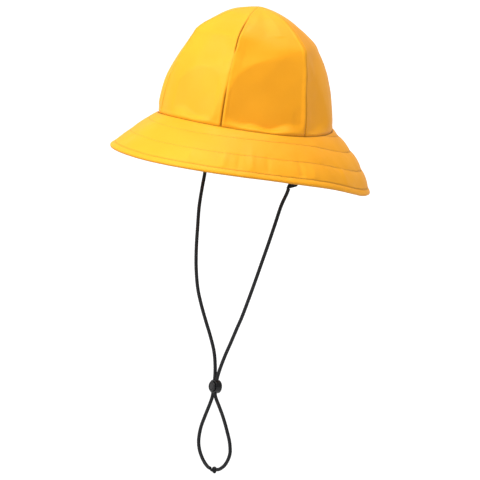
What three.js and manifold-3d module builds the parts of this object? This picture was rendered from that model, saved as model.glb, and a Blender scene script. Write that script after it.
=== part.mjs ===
// A sou'wester: a waterproof rain hat with a crown of six gores, a sloping stitched brim that is
// longer at the back, and a black chin cord that runs through a round push-button cord lock.
// Millimetres, +Z up. The origin is the middle of the head opening, level with the seam between
// crown and brim. The front of the hat faces -Y and the wearer's left is +X.
import * as THREE from "three";
import { mergeVertices } from "three/addons/utils/BufferGeometryUtils.js";
import Module from "manifold-3d";

const wasm = await Module();
wasm.setup();

// Gap between two pieces that touch
const gap = 0.3;

// Crown, measured over the cloth at its base seam
const crownLength = 200;
const crownWidth = 164;
const crownHeight = 119;
const crownWall = 1.6;

// The base seam is a little higher in front and lower at the sides than at the back
const seamRiseFront = 2.5;
const seamRiseSide = -3;
const seamRiseBack = 0;

// Brim: how far it stands out past the crown at both ends and at the sides, and how far the lowest
// place of its edge hangs below the base seam
const brimReachEnds = 50;
const brimReachSide = 41;
const brimDrop = 62;
const brimWall = 2.6;
const hemWall = 3.2;
const seamDepth = 3;

// Webbing tabs inside the crown, one at each side, that hold the ends of the chin cord
const tabAngle = 101.5;
const tabWidth = 13;
const tabWall = 1.8;
const tabSewn = 12;
const tabDrop = 62;
const tabTipX = 57.5;
const tabTipWall = 4;

// Chin cord
const cordDiameter = 3.8;
const cordSides = 8;
const cordSteps = 39;

// Cord lock: a round barrel with a push button in its front end
const lockCentreZ = -280.2;
const lockCentreY = 3.4;
const lockTurn = 15;
const barrelDiameter = 14.2;
const barrelLength = 7.4;
const barrelWall = 1.3;
const barrelRounding = 1.2;
const buttonProud = 2;
const buttonTravel = 1.5;
const buttonRounding = 0.8;
const rimRounding = 0.3;
const lockClearance = 0.3;
const lockSides = 28;

// Knot at the bottom of the cord's lower loop, and its two short tails
const knotWidth = 7.2;
const knotHeight = 8.4;
const tailLength = 1.8;

// Sections of the crown. up is a share of the crown's height. front, side and back are shares of the
// base outline, at the seams 30, 90 and 150 degrees from the front. bow says how far a gore is rounded
// between its two seams: 1 follows the base outline and 0 is flat.
const crownSections = [
  { up: 0.0, front: 1.0, side: 1.0, back: 1.0, bow: 1.0 },
  { up: 0.1, front: 0.995, side: 1.0, back: 0.995, bow: 0.95 },
  { up: 0.28, front: 0.965, side: 0.963, back: 0.96, bow: 0.82 },
  { up: 0.42, front: 0.92, side: 0.936, back: 0.91, bow: 0.66 },
  { up: 0.53, front: 0.868, side: 0.911, back: 0.85, bow: 0.52 },
  { up: 0.62, front: 0.81, side: 0.879, back: 0.785, bow: 0.42 },
  { up: 0.705, front: 0.755, side: 0.84, back: 0.712, bow: 0.34 },
  { up: 0.78, front: 0.7, side: 0.735, back: 0.6, bow: 0.3 },
  { up: 0.85, front: 0.572, side: 0.62, back: 0.475, bow: 0.28 },
  { up: 0.905, front: 0.435, side: 0.5, back: 0.36, bow: 0.28 },
  { up: 0.945, front: 0.33, side: 0.37, back: 0.255, bow: 0.28 },
  { up: 0.98, front: 0.18, side: 0.165, back: 0.13, bow: 0.3 },
  { up: 1.0, front: 0.012, side: 0.012, back: 0.012, bow: 0.3 },
];

// Folds and dents of the gores. Each runs along a line on its gore: across goes from 0 at the gore's
// first seam to 1 at its second, up from 0 at the base to 1 at the top. rise, above and below are
// shares of the crown's height: how far the cloth stands out, or in where it is negative, and how far
// the slope reaches on the line's upper and lower side.
const crownFolds = [
  { gore: 1, across1: 0.2, up1: 0.62, across2: 0.45, up2: 0.8, rise: -0.016, above: 0.14, below: 0.2 },
  { gore: 2, across1: 0.25, up1: 0.2, across2: 0.3, up2: 0.6, rise: -0.014, above: 0.2, below: 0.2 },
  { gore: 0, across1: 0.9, up1: 0.3, across2: 0.75, up2: 0.55, rise: -0.012, above: 0.22, below: 0.2 },
  { gore: 5, across1: 0.0, up1: 0.7, across2: 1.0, up2: 0.16, rise: 0.022, above: 0.3, below: 0.4 },
  { gore: 4, across1: 0.7, up1: 0.2, across2: 0.6, up2: 0.65, rise: -0.014, above: 0.2, below: 0.24 },
];

// Flats that the cloth has sunk into, one on each gore. Each is a plane that faces an azimuth and an
// elevation in degrees. away is how far it is from the hat's axis, as a share of the base outline's
// distance that way.
const crownFlats = [
  { gore: 0, azimuth: 6, elevation: 12, away: 0.968 },
  { gore: 1, azimuth: 65.5, elevation: 7, away: 0.888 },
  { gore: 2, azimuth: 100, elevation: 8, away: 0.968 },
  { gore: 3, azimuth: 174, elevation: 10, away: 0.962 },
  { gore: 4, azimuth: 238, elevation: 10, away: 0.965 },
  { gore: 5, azimuth: 282, elevation: 8, away: 0.955 },
];

// Sections of the brim, from the base seam to its edge. out is a share of how far it reaches, down a
// share of how far it drops, and hem goes from 0 for the plain brim to 1 for the thicker hem.
const brimSections = [
  { out: 0.0, down: 0.0, hem: 0 },
  { out: 0.16, down: 0.125, hem: 0 },
  { out: 0.36, down: 0.305, hem: 0 },
  { out: 0.56, down: 0.505, hem: 0 },
  { out: 0.74, down: 0.7, hem: 0 },
  { out: 0.88, down: 0.865, hem: 0 },
  { out: 0.93, down: 0.925, hem: 1 },
  { out: 1.0, down: 1.0, hem: 1 },
];

// The brim's edge, every 30 degrees round from the back over the wearer's right, the front and the
// left. reach and drop are shares of the brim's reach and drop. swell is how far the lower half of the
// brim stands out of its slope, as a share of the drop.
const brimEdge = [
  { turn: -180, reach: 1.0, drop: 1.0, swell: 0.04 },
  { turn: -150, reach: 1.0, drop: 0.97, swell: 0.04 },
  { turn: -120, reach: 1.0, drop: 0.9, swell: 0.035 },
  { turn: -90, reach: 1.0, drop: 0.765, swell: 0.02 },
  { turn: -60, reach: 1.0, drop: 0.63, swell: 0 },
  { turn: -30, reach: 1.0, drop: 0.6, swell: 0 },
  { turn: 0, reach: 1.0, drop: 0.615, swell: 0 },
  { turn: 30, reach: 1.0, drop: 0.64, swell: 0 },
  { turn: 60, reach: 1.0, drop: 0.685, swell: 0.01 },
  { turn: 90, reach: 1.0, drop: 0.785, swell: 0.02 },
  { turn: 120, reach: 1.03, drop: 0.965, swell: 0.045 },
  { turn: 150, reach: 1.05, drop: 1.0, swell: 0.045 },
];

// Rows of a tab from its tip to its sewn top. It lies flat inside the crown and hangs free below it.
// Towards its tip the webbing is folded round the end of the cord, which makes it thicker.
const tabSections = [
  { down: 1.0, sewn: 0, folded: 1 },
  { down: 0.8, sewn: 0, folded: 1 },
  { down: 0.72, sewn: 0, folded: 0 },
  { down: 0.5, sewn: 0, folded: 0 },
  { down: 0.25, sewn: 0, folded: 0 },
  { down: 0.0, sewn: 0, folded: 0 },
  { down: 0.0, sewn: 0.5, folded: 0 },
  { down: 0.0, sewn: 1.0, folded: 0 },
];
const tabGore = 2;

// The cord's routes, chosen by hand. Both strands hang from the tabs, pass side by side through the
// lock and part again below it to meet at the knot.
const leftAbove = [
  { x: 56.6, y: 13.1, z: -67 },
  { x: 54.3, y: 9.3, z: -80 },
  { x: 52.2, y: 5.4, z: -100 },
  { x: 49.2, y: 2.6, z: -120 },
  { x: 45.2, y: 0.3, z: -141 },
  { x: 40.4, y: -1.0, z: -162 },
  { x: 34.6, y: -1.4, z: -183 },
  { x: 28.4, y: -1.0, z: -202 },
  { x: 22.6, y: 0.2, z: -215 },
  { x: 16.2, y: 1.4, z: -230 },
  { x: 9.4, y: 2.4, z: -246 },
  { x: 4.6, y: 2.9, z: -260 },
];
const rightAbove = [
  { x: -57.1, y: 13.1, z: -67 },
  { x: -55.0, y: 9.3, z: -80 },
  { x: -52.6, y: 5.4, z: -100 },
  { x: -49.0, y: 2.6, z: -120 },
  { x: -45.4, y: 0.3, z: -141 },
  { x: -41.2, y: -1.0, z: -162 },
  { x: -35.2, y: -1.4, z: -183 },
  { x: -27.6, y: -1.0, z: -200 },
  { x: -20.2, y: 0.2, z: -215 },
  { x: -12.6, y: 1.6, z: -230 },
  { x: -6.4, y: 2.9, z: -245 },
  { x: -3.0, y: 3.5, z: -260 },
];
const leftBelow = [
  { x: 3.4, y: 4.2, z: -293.2 },
  { x: 8.0, y: 4.7, z: -300 },
  { x: 14.6, y: 5.1, z: -310 },
  { x: 21.6, y: 5.6, z: -323 },
  { x: 27.2, y: 6.1, z: -336 },
  { x: 28.6, y: 6.4, z: -347 },
  { x: 23.7, y: 6.7, z: -358.5 },
  { x: 16.5, y: 6.9, z: -364.6 },
];
const rightBelow = [
  { x: -3.0, y: 4.4, z: -293.2 },
  { x: -5.6, y: 4.8, z: -301 },
  { x: -10.0, y: 5.3, z: -313 },
  { x: -14.3, y: 5.7, z: -327 },
  { x: -15.1, y: 6.1, z: -341 },
  { x: -12.0, y: 6.4, z: -351 },
  { x: -5.0, y: 6.7, z: -360.5 },
  { x: 1.6, y: 6.9, z: -365.2 },
];
const knotCentre = new THREE.Vector3(8.8, 7, -366.8);
const tabExitY = 13.6;
const tailDirections = [new THREE.Vector3(-0.6, 0.8, -0.12), new THREE.Vector3(-0.34, 0.86, 0.38)];

// Mesh steps
const goreColumns = 8;
const gores = 6;
const brimSteps = 48;
const smoothSteps = 2;
const arcSteps = 3;

const yellowCloth = { color: 0xffc42e, roughness: 0.55, metalness: 0 };
const blackCord = { color: 0x141414, roughness: 0.85, metalness: 0 };
const blackWebbing = { color: 0x1b1a1a, roughness: 0.9, metalness: 0 };
const blackPlastic = { color: 0x26272a, roughness: 0.4, metalness: 0 };

const radians = THREE.MathUtils.degToRad;
const lerp = THREE.MathUtils.lerp;

const hat = new THREE.Group();

function addMesh(name, geometry, finish, parent = hat) {
  const mesh = new THREE.Mesh(geometry, new THREE.MeshStandardMaterial(finish));
  mesh.name = name;
  parent.add(mesh);
  return mesh;
}

// A row between the second and third of four table rows, on a smooth curve through each column
function rowBetween(before, start, end, after, t) {
  const row = {};
  for (const key of Object.keys(start)) {
    const slopeIn = (end[key] - before[key]) / 2;
    const slopeOut = (after[key] - start[key]) / 2;
    const step = end[key] - start[key];
    row[key] = start[key] + t * (slopeIn + t * (3 * step - 2 * slopeIn - slopeOut));
    row[key] += t ** 3 * (slopeIn + slopeOut - 2 * step);
  }
  return row;
}

// Adds rows between the rows of a table
function smoothTable(rows, steps) {
  const table = [];
  for (let i = 0; i < rows.length - 1; i++) {
    const before = rows[Math.max(i - 1, 0)];
    const after = rows[Math.min(i + 2, rows.length - 1)];
    for (let step = 0; step < steps; step++) {
      table.push(rowBetween(before, rows[i], rows[i + 1], after, step / steps));
    }
  }
  table.push(rows[rows.length - 1]);
  return table;
}

// A value that changes smoothly round the hat, given in front, at the sides and at the back
function aroundHat(front, side, back, angle) {
  const middle = ((front + back) / 2 + side) / 2;
  const forward = (front - back) / 2;
  const ends = ((front + back) / 2 - side) / 2;
  return middle + forward * Math.cos(angle) + ends * Math.cos(2 * angle);
}

// A closed sheet between two grids of points: outer[row][column] seen from outside, inner behind it.
// A ring has no side edges, because its last column joins its first.
function sheetGeometry(outer, inner, ring) {
  const rows = outer.length;
  const columns = outer[0].length;
  const points = [...outer.flat(), ...inner.flat()];
  const index = [];
  const at = (face, row, column) => (face * rows + row) * columns + (column % columns);
  const quad = (a, b, c, d) => index.push(a, b, c, a, c, d);
  const lastColumn = ring ? columns : columns - 1;
  for (let column = 0; column < lastColumn; column++) {
    for (let row = 0; row < rows - 1; row++) {
      quad(at(0, row, column), at(0, row, column + 1), at(0, row + 1, column + 1), at(0, row + 1, column));
      quad(at(1, row, column), at(1, row + 1, column), at(1, row + 1, column + 1), at(1, row, column + 1));
    }
    quad(at(1, 0, column), at(1, 0, column + 1), at(0, 0, column + 1), at(0, 0, column));
    const top = rows - 1;
    quad(at(0, top, column), at(0, top, column + 1), at(1, top, column + 1), at(1, top, column));
  }
  if (!ring) {
    for (let row = 0; row < rows - 1; row++) {
      const end = columns - 1;
      quad(at(1, row, 0), at(0, row, 0), at(0, row + 1, 0), at(1, row + 1, 0));
      quad(at(0, row, end), at(1, row, end), at(1, row + 1, end), at(0, row + 1, end));
    }
  }
  const numbers = points.flatMap((point) => point.toArray());
  const geometry = new THREE.BufferGeometry();
  geometry.setAttribute("position", new THREE.Float32BufferAttribute(numbers, 3));
  geometry.setIndex(index);
  geometry.computeVertexNormals();
  return geometry;
}

// Mirrors a sheet's two grids from the wearer's left to the right, keeping its faces outwards
function mirrored(grid) {
  return grid.map((row) => row.map((p) => new THREE.Vector3(-p.x, p.y, p.z)).reverse());
}

// Crown

const crownRows = smoothTable(crownSections, smoothSteps);
const seamNames = ["front", "side", "back", "back", "side", "front"];
const goreTurn = radians(360 / gores);

// A point of the crown's base outline, scaled by a share of it
function outlinePoint(angle, share) {
  const x = (crownWidth / 2) * share * Math.sin(angle);
  const y = -(crownLength / 2) * share * Math.cos(angle);
  return new THREE.Vector3(x, y, 0);
}

function seamRise(angle) {
  return aroundHat(seamRiseFront, seamRiseSide, seamRiseBack, angle);
}

// How far the folds lift the cloth at a place on a gore
function foldLift(gore, across, up) {
  const goreWidth = crownWidth / 2 / crownHeight;
  let lift = 0;
  for (const fold of crownFolds) {
    if (fold.gore !== gore) continue;
    const start = new THREE.Vector2(fold.across1 * goreWidth, fold.up1);
    const end = new THREE.Vector2(fold.across2 * goreWidth, fold.up2);
    const place = new THREE.Vector2(across * goreWidth, up);
    const along = end.clone().sub(start);
    const share = THREE.MathUtils.clamp(place.clone().sub(start).dot(along) / along.lengthSq(), 0, 1);
    const nearest = start.addScaledVector(along, share);
    const reach = place.y > nearest.y ? fold.above : fold.below;
    lift += fold.rise * Math.max(0, 1 - place.distanceTo(nearest) / reach);
  }
  return lift * crownHeight;
}

// Moves a point of a gore back to the gore's flat, by a share of the way
function pressFlat(gore, point, depth, share) {
  const flat = crownFlats[gore];
  const azimuth = radians(flat.azimuth);
  const elevation = radians(flat.elevation);
  const outline = Math.hypot((Math.sin(azimuth) * crownWidth) / 2, (Math.cos(azimuth) * crownLength) / 2);
  const facing = new THREE.Vector3(Math.sin(azimuth), -Math.cos(azimuth), 0);
  facing.multiplyScalar(Math.cos(elevation));
  facing.z = Math.sin(elevation);
  const distance = flat.away * outline * Math.cos(elevation);
  const over = Math.max(0, point.dot(facing) + depth - distance);
  point.addScaledVector(facing, -over * share);
}

// The crown's section at a share of its height
function crownSectionAt(up) {
  const next = Math.max(1, crownRows.findIndex((row) => row.up >= up));
  const lower = crownRows[next - 1];
  const upper = crownRows[next];
  const share = (up - lower.up) / (upper.up - lower.up);
  return Object.fromEntries(Object.keys(lower).map((key) => [key, lerp(lower[key], upper[key], share)]));
}

// Outward direction of the crown's cloth. It depends on the angle and height alone, so that two gores
// share it along their seam.
function crownNormal(angle, up) {
  const nearby = 0.01;
  const radius = (crownLength + crownWidth) / 4;
  const meanShare = (section) => (section.front + section.side + section.back) / 3;
  const lower = crownSectionAt(Math.max(up - nearby, 0));
  const upper = crownSectionAt(Math.min(up + nearby, 1));
  const outwards = new THREE.Vector3(Math.sin(angle) / crownWidth, -Math.cos(angle) / crownLength, 0);
  outwards.normalize().multiplyScalar((upper.up - lower.up) * crownHeight);
  outwards.z = (meanShare(lower) - meanShare(upper)) * radius;
  return outwards.normalize();
}

// A point on a gore at a share of its height, depth below its outer face
function gorePoint(gore, across, up, depth) {
  const section = crownSectionAt(up);
  const startAngle = (gore - 0.5) * goreTurn;
  const startShare = section[seamNames[(gore + gores - 1) % gores]];
  const endShare = section[seamNames[gore]];
  const flat = outlinePoint(startAngle, startShare).lerp(
    outlinePoint(startAngle + goreTurn, endShare),
    across,
  );
  const angle = startAngle + across * goreTurn;
  const round = outlinePoint(angle, lerp(startShare, endShare, across));
  const point = flat.lerp(round, section.bow);
  const normal = crownNormal(angle, up);
  point.addScaledVector(normal, -depth);
  point.z = up === 0 ? gap / 2 : point.z + up * crownHeight;
  point.z += seamRise(angle) * (1 - up) ** 2;
  const fade = Math.min(1, across * 5, (1 - across) * 5) * Math.min(1, up * 10);
  pressFlat(gore, point, depth, fade);
  return point.addScaledVector(normal, foldLift(gore, across, up) * fade);
}

function goreGrid(gore, depth) {
  return crownRows.map(({ up }) => {
    const edge = gap / 2 / gorePoint(gore, 0, up, 0).distanceTo(gorePoint(gore, 1, up, 0));
    const points = [];
    for (let column = 0; column <= goreColumns; column++) {
      points.push(gorePoint(gore, lerp(edge, 1 - edge, column / goreColumns), up, depth));
    }
    return points;
  });
}

const goreNames = ["front", "front_left", "back_left", "back", "back_right", "front_right"];
goreNames.forEach((name, gore) => {
  addMesh("crown_" + name, sheetGeometry(goreGrid(gore, 0), goreGrid(gore, crownWall), false), yellowCloth);
});

// Brim

// The brim's edge at an angle from the front
function brimEdgeAt(angle) {
  const rows = brimEdge.length;
  const place = rows * (angle / (2 * Math.PI) + 0.5);
  const row = Math.floor(place);
  const at = (step) => brimEdge[(row + step + rows) % rows];
  return rowBetween(at(-1), at(0), at(1), at(2), place - row);
}

// A point on the brim's upper face, depth below it
function brimPoint(angle, row, depth) {
  const edge = brimEdgeAt(angle);
  const drop = edge.drop * brimDrop + seamRise(angle);
  const reach = new THREE.Vector3(brimReachSide * Math.sin(angle), -brimReachEnds * Math.cos(angle), 0);
  reach.multiplyScalar(edge.reach);
  const outAndUp = new THREE.Vector3(Math.sin(angle), -Math.cos(angle), 1).normalize();
  const place = (section) => {
    const point = outlinePoint(angle, 1).addScaledVector(reach, section.out);
    point.z = seamRise(angle) - gap / 2 - drop * section.down;
    const swell = edge.swell * brimDrop * Math.sin(Math.PI * section.out ** 1.6);
    return point.addScaledVector(outAndUp, swell);
  };
  const before = place(brimSections[Math.max(row - 1, 0)]);
  const after = place(brimSections[Math.min(row + 1, brimSections.length - 1)]);
  const downhill = after.sub(before);
  const sideways = new THREE.Vector3(Math.cos(angle), Math.sin(angle), 0);
  const outwards = downhill.cross(sideways).normalize();
  return place(brimSections[row]).addScaledVector(outwards, -depth);
}

// The brim starts under the crown's wall, on a seat as wide as that wall
function brimSeat(angle, depth) {
  const point = outlinePoint(angle, 1);
  point.addScaledVector(crownNormal(angle, 0), -crownWall);
  point.z = seamRise(angle) - gap / 2 - depth;
  return point;
}

function brimGrid(lower) {
  const grid = [];
  const turns = Array.from({ length: brimSteps }, (unused, step) => radians((360 * step) / brimSteps));
  grid.push(turns.map((angle) => brimSeat(angle, lower ? seamDepth : 0)));
  brimSections.forEach((section, row) => {
    if (lower && row === 0) return;
    const wall = lerp(brimWall, hemWall, section.hem);
    grid.push(turns.map((angle) => brimPoint(angle, row, lower ? wall : 0)));
  });
  if (lower) grid.splice(1, 0, grid[0].map((seat, step) => seat.clone().lerp(grid[1][step], 0.5)));
  return grid.reverse();
}

addMesh("brim", sheetGeometry(brimGrid(false), brimGrid(true), true), yellowCloth);

// Webbing tabs

function tabGrid(inner) {
  return tabSections.map((section) => {
    const wall = lerp(tabWall, tabTipWall, section.folded);
    const depth = inner ? wall : 0;
    const up = (section.sewn * tabSewn) / crownHeight;
    return [-1, 0, 1].map((side) => {
      const angle = radians(tabAngle) + (side * tabWidth) / crownLength;
      const across = angle / goreTurn - (tabGore - 0.5);
      const point = gorePoint(tabGore, across, up, crownWall + gap + depth);
      const tipX = tabTipX + wall / 2 - depth;
      point.x = lerp(point.x, tipX, section.down);
      point.z -= section.down * (tabDrop + point.z);
      return point;
    });
  });
}

const tabOuter = tabGrid(false);
const tabInner = tabGrid(true);
addMesh("cord_tab_left", sheetGeometry(tabOuter, tabInner, false), blackWebbing);
addMesh("cord_tab_right", sheetGeometry(mirrored(tabOuter), mirrored(tabInner), false), blackWebbing);

// Chin cord

const lockAngle = radians(lockTurn);
const strandOffset = (cordDiameter + gap) / 2;

// The three points that a strand passes in the lock, on the side given by +1 or -1
function throughLock(side) {
  const x = side * strandOffset * Math.cos(lockAngle);
  const y = lockCentreY - side * strandOffset * Math.sin(lockAngle);
  return [-1, 0, 1].map((step) => new THREE.Vector3(x, y, lockCentreZ - step * (barrelDiameter / 2 + 1)));
}

// Where a strand that comes from a given point meets the knot
function knotEntry(from) {
  const towards = from.clone().sub(knotCentre).normalize();
  const across = Math.hypot(towards.x, towards.y) / (knotWidth / 2);
  const upwards = towards.z / (knotHeight / 2);
  return towards.multiplyScalar(1 / Math.hypot(across, upwards) + gap).add(knotCentre);
}

function strandPath(side, above, below) {
  const toVector = (row) => new THREE.Vector3(row.x, row.y, row.z);
  const lower = below.map(toVector);
  return new THREE.CatmullRomCurve3(
    [
      new THREE.Vector3(side * tabTipX, tabExitY, -tabDrop - gap),
      ...above.map(toVector),
      ...throughLock(side),
      ...lower,
      knotEntry(lower[lower.length - 1]),
    ],
    false,
    "centripetal",
  );
}

function cordGeometry(path) {
  const section = new THREE.Shape();
  for (let side = 0; side < cordSides; side++) {
    const angle = (2 * Math.PI * (side + 0.5)) / cordSides;
    const x = (cordDiameter / 2) * Math.cos(angle);
    const y = (cordDiameter / 2) * Math.sin(angle);
    if (side === 0) section.moveTo(x, y);
    else section.lineTo(x, y);
  }
  section.closePath();
  return new THREE.ExtrudeGeometry(section, { steps: cordSteps, extrudePath: path, bevelEnabled: false });
}

addMesh("chin_cord_left", cordGeometry(strandPath(1, leftAbove, leftBelow)), blackCord);
addMesh("chin_cord_right", cordGeometry(strandPath(-1, rightAbove, rightBelow)), blackCord);

// Joins and cuts

function toSolid(geometry) {
  const bare = geometry.index ? geometry.toNonIndexed() : geometry.clone();
  bare.deleteAttribute("normal");
  bare.deleteAttribute("uv");
  const merged = mergeVertices(bare, 1e-4);
  return new wasm.Manifold(
    new wasm.Mesh({
      numProp: 3,
      vertProperties: new Float32Array(merged.attributes.position.array),
      triVerts: new Uint32Array(merged.index.array),
    }),
  );
}

function toGeometry(solid) {
  const mesh = solid.getMesh();
  const geometry = new THREE.BufferGeometry();
  geometry.setAttribute("position", new THREE.Float32BufferAttribute(mesh.vertProperties, 3));
  geometry.setIndex(new THREE.BufferAttribute(mesh.triVerts, 1));
  geometry.computeVertexNormals();
  return geometry;
}

// Cord lock, built along its own axis: local +Y points out of the button's face

const boreDiameter = barrelDiameter - 2 * barrelWall;
const plungerDiameter = boreDiameter - 2 * lockClearance;
const passageHeight = cordDiameter + 2 * lockClearance;
const passageWidth = 2 * cordDiameter + gap + 2 * lockClearance;
const barrelFront = barrelLength / 2;
const barrelBack = -barrelLength / 2;
const passageCentre = buttonProud / 2;

// A solid of revolution about local Y, from a closed profile of radius and height pairs
function turned(profile) {
  const points = profile.map(([radius, height]) => new THREE.Vector2(radius, height));
  return new THREE.LatheGeometry(points, lockSides);
}

// Points of a quarter circle that starts at an angle in degrees
function quarterArc(centreX, centreY, radius, from) {
  return Array.from({ length: arcSteps + 1 }, (unused, step) => {
    const angle = radians(from + (90 * step) / arcSteps);
    return [centreX + radius * Math.cos(angle), centreY + radius * Math.sin(angle)];
  });
}

// A disc's profile between two heights, with a rounding at its lower and upper edge
function roundedProfile(radius, low, high, lowRounding, highRounding) {
  return [
    [0, low],
    ...quarterArc(radius - lowRounding, low + lowRounding, lowRounding, -90),
    ...quarterArc(radius - highRounding, high - highRounding, highRounding, 0),
    [0, high],
  ];
}

// The upright passage for both strands, with round ends. It can be longer towards the lock's front.
function passage(longer) {
  const radius = passageHeight / 2;
  const side = passageWidth / 2 - radius;
  const outline = [
    ...quarterArc(side, 0, radius, -90),
    ...quarterArc(side, longer, radius, 0),
    ...quarterArc(-side, longer, radius, 90),
    ...quarterArc(-side, 0, radius, 180),
  ].map(([x, y]) => new THREE.Vector2(x, y));
  const distinct = outline.filter((point, i) => point.distanceTo(outline[(i + 1) % outline.length]) > 1e-6);
  const depth = barrelDiameter + 4;
  const geometry = new THREE.ExtrudeGeometry(new THREE.Shape(distinct), { depth, bevelEnabled: false });
  return geometry.translate(0, passageCentre, -depth / 2);
}

function barrelSolid() {
  const outside = roundedProfile(barrelDiameter / 2, barrelBack, barrelFront, barrelRounding, rimRounding);
  const past = barrelFront + 1;
  const bore = roundedProfile(boreDiameter / 2, barrelBack + barrelWall, past, rimRounding, rimRounding);
  return toSolid(turned(outside)).subtract(toSolid(turned(bore))).subtract(toSolid(passage(0)));
}

function buttonSolid() {
  const front = barrelFront + buttonProud;
  const back = barrelBack + barrelWall + buttonTravel + lockClearance;
  const profile = roundedProfile(plungerDiameter / 2, back, front, rimRounding, buttonRounding);
  return toSolid(turned(profile)).subtract(toSolid(passage(buttonTravel)));
}

const lock = new THREE.Group();
lock.position.set(0, lockCentreY, lockCentreZ);
lock.rotation.z = Math.PI - lockAngle;
hat.add(lock);

const lockParts = new THREE.Group();
lockParts.position.y = -passageCentre;
lock.add(lockParts);
addMesh("cord_lock_body", toGeometry(barrelSolid()), blackPlastic, lockParts);
addMesh("cord_lock_button", toGeometry(buttonSolid()), blackPlastic, lockParts);

// Knot

// A short tail of cord that leaves the knot in a given direction
function tailSolid(direction) {
  const tail = new THREE.CylinderGeometry(cordDiameter / 2, cordDiameter / 2, 2 * tailLength, cordSides);
  tail.applyQuaternion(new THREE.Quaternion().setFromUnitVectors(new THREE.Vector3(0, 1, 0), direction));
  return toSolid(tail.translate(...direction.clone().multiplyScalar(knotWidth / 2).toArray()));
}

function knotSolid() {
  const lump = new THREE.SphereGeometry(0.5, 14, 9).rotateX(Math.PI / 2);
  lump.scale(knotWidth, knotWidth, knotHeight);
  const tails = tailDirections.map((direction) => tailSolid(direction.normalize()));
  return tails.reduce((solid, tail) => solid.add(tail), toSolid(lump));
}

const knot = addMesh("cord_knot", toGeometry(knotSolid()), blackCord);
knot.position.copy(knotCentre);

export default hat;
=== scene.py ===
"""A sou'wester hat: yellow coated cloth, a stitched brim, a black chin cord and its cord lock.

Shapes are worked out in millimetres, and each mesh is scaled to metres when it is made. +Z is up,
the front of the hat faces -Y and the wearer's left is +X. Angles go from the front towards +X.
"""
import math

import bpy
import numpy as np
from mathutils import Matrix, Vector


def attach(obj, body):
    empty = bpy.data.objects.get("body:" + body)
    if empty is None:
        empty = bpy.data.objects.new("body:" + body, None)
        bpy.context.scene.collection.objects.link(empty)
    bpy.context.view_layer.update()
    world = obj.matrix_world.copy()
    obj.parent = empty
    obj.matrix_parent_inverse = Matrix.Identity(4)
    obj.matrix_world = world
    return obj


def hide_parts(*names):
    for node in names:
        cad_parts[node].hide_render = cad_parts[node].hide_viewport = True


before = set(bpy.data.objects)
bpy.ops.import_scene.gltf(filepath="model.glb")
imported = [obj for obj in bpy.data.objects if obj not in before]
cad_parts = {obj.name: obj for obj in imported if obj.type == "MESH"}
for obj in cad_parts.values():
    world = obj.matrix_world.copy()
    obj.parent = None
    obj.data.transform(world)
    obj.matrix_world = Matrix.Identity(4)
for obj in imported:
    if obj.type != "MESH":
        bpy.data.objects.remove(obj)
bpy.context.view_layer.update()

METRES = 0.001
TURN = 2 * math.pi
PICTURE_SIDE = 480


# Tables and curves


def columns(names, rows):
    """A table as one array for each of its named columns."""
    return dict(zip(names.split(), np.array(rows, float).T))


def cubic(start, end, slope_in, slope_out, t):
    """A curve from start to end, with the given slopes there, at t from 0 to 1."""
    rise = end - start
    bend = 3 * rise - 2 * slope_in - slope_out
    return start + t * slope_in + t**2 * bend + t**3 * (slope_in + slope_out - 2 * rise)


def smooth_column(values, place, closed=False):
    """A column at fractional row numbers, on the smooth curve through its rows."""
    count = len(values)
    place = np.asarray(place, float)
    row = np.floor(place).astype(int)
    if not closed:
        row = np.clip(row, 0, count - 2)
    index = row[..., None] + (-1, 0, 1, 2)
    index = index % count if closed else np.clip(index, 0, count - 1)
    before, start, end, after = np.moveaxis(values[index], -1, 0)
    return cubic(start, end, (end - before) / 2, (after - start) / 2, place - row)


def blend(a, b, share):
    return a + (b - a) * share


def smooth_step(low, high, value):
    t = np.clip((value - low) / (high - low), 0, 1)
    return t * t * (3 - 2 * t)


def stack(x, y, z):
    return np.stack(np.broadcast_arrays(x, y, z), axis=-1)


def unit(vectors):
    return vectors / np.linalg.norm(vectors, axis=-1, keepdims=True)


def direction(azimuth, elevation):
    """A unit vector from two angles in degrees. Azimuth 0 is in front of the hat."""
    azimuth, elevation = math.radians(azimuth), math.radians(elevation)
    level = math.cos(elevation)
    return np.array([math.sin(azimuth) * level, -math.cos(azimuth) * level, math.sin(elevation)])


def hump(value, middle, width):
    """1 where a value is at the middle, falling smoothly to 0 on both sides of it."""
    return np.exp(-(((value - middle) / width) ** 2))


NOISE_VALUES = 4096
NOISE_STRIDES = np.array([73, 179, 283])


def smooth_noise(points, size, seed):
    """Smooth noise between -1 and 1 at an array of points, with features of the given size."""
    table = np.random.default_rng(seed).uniform(-1, 1, NOISE_VALUES)
    place = points / size
    cell = np.floor(place).astype(int)
    t = place - cell
    t = t * t * (3 - 2 * t)
    total = 0
    for corner in np.ndindex(2, 2, 2):
        weight = np.prod(np.where(np.array(corner) == 1, t, 1 - t), axis=-1)
        key = (cell + corner) @ NOISE_STRIDES
        total = total + weight * table[key % NOISE_VALUES]
    return total


def dents(points, table):
    """Dents of worn cloth at points, from rows of a size, a height and a seed."""
    return sum(smooth_noise(points, size, seed) * height for size, height, seed in table)


# Objects and camera


def new_object(name, data):
    """An object in the scene for a camera, a light or a mesh."""
    made = bpy.data.objects.new(name, data)
    bpy.context.scene.collection.objects.link(made)
    return made


CAMERA_AZIMUTH = 40
CAMERA_ELEVATION = 7
CAMERA_ROLL = math.radians(7)
CAMERA_DISTANCE = 12
PICTURE_CENTRE = Vector((0.017, -0.0055, -0.1229))
PIXELS_PER_METRE = 967
SENSOR_WIDTH = 36
VIEW_DEPTH = 200


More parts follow.
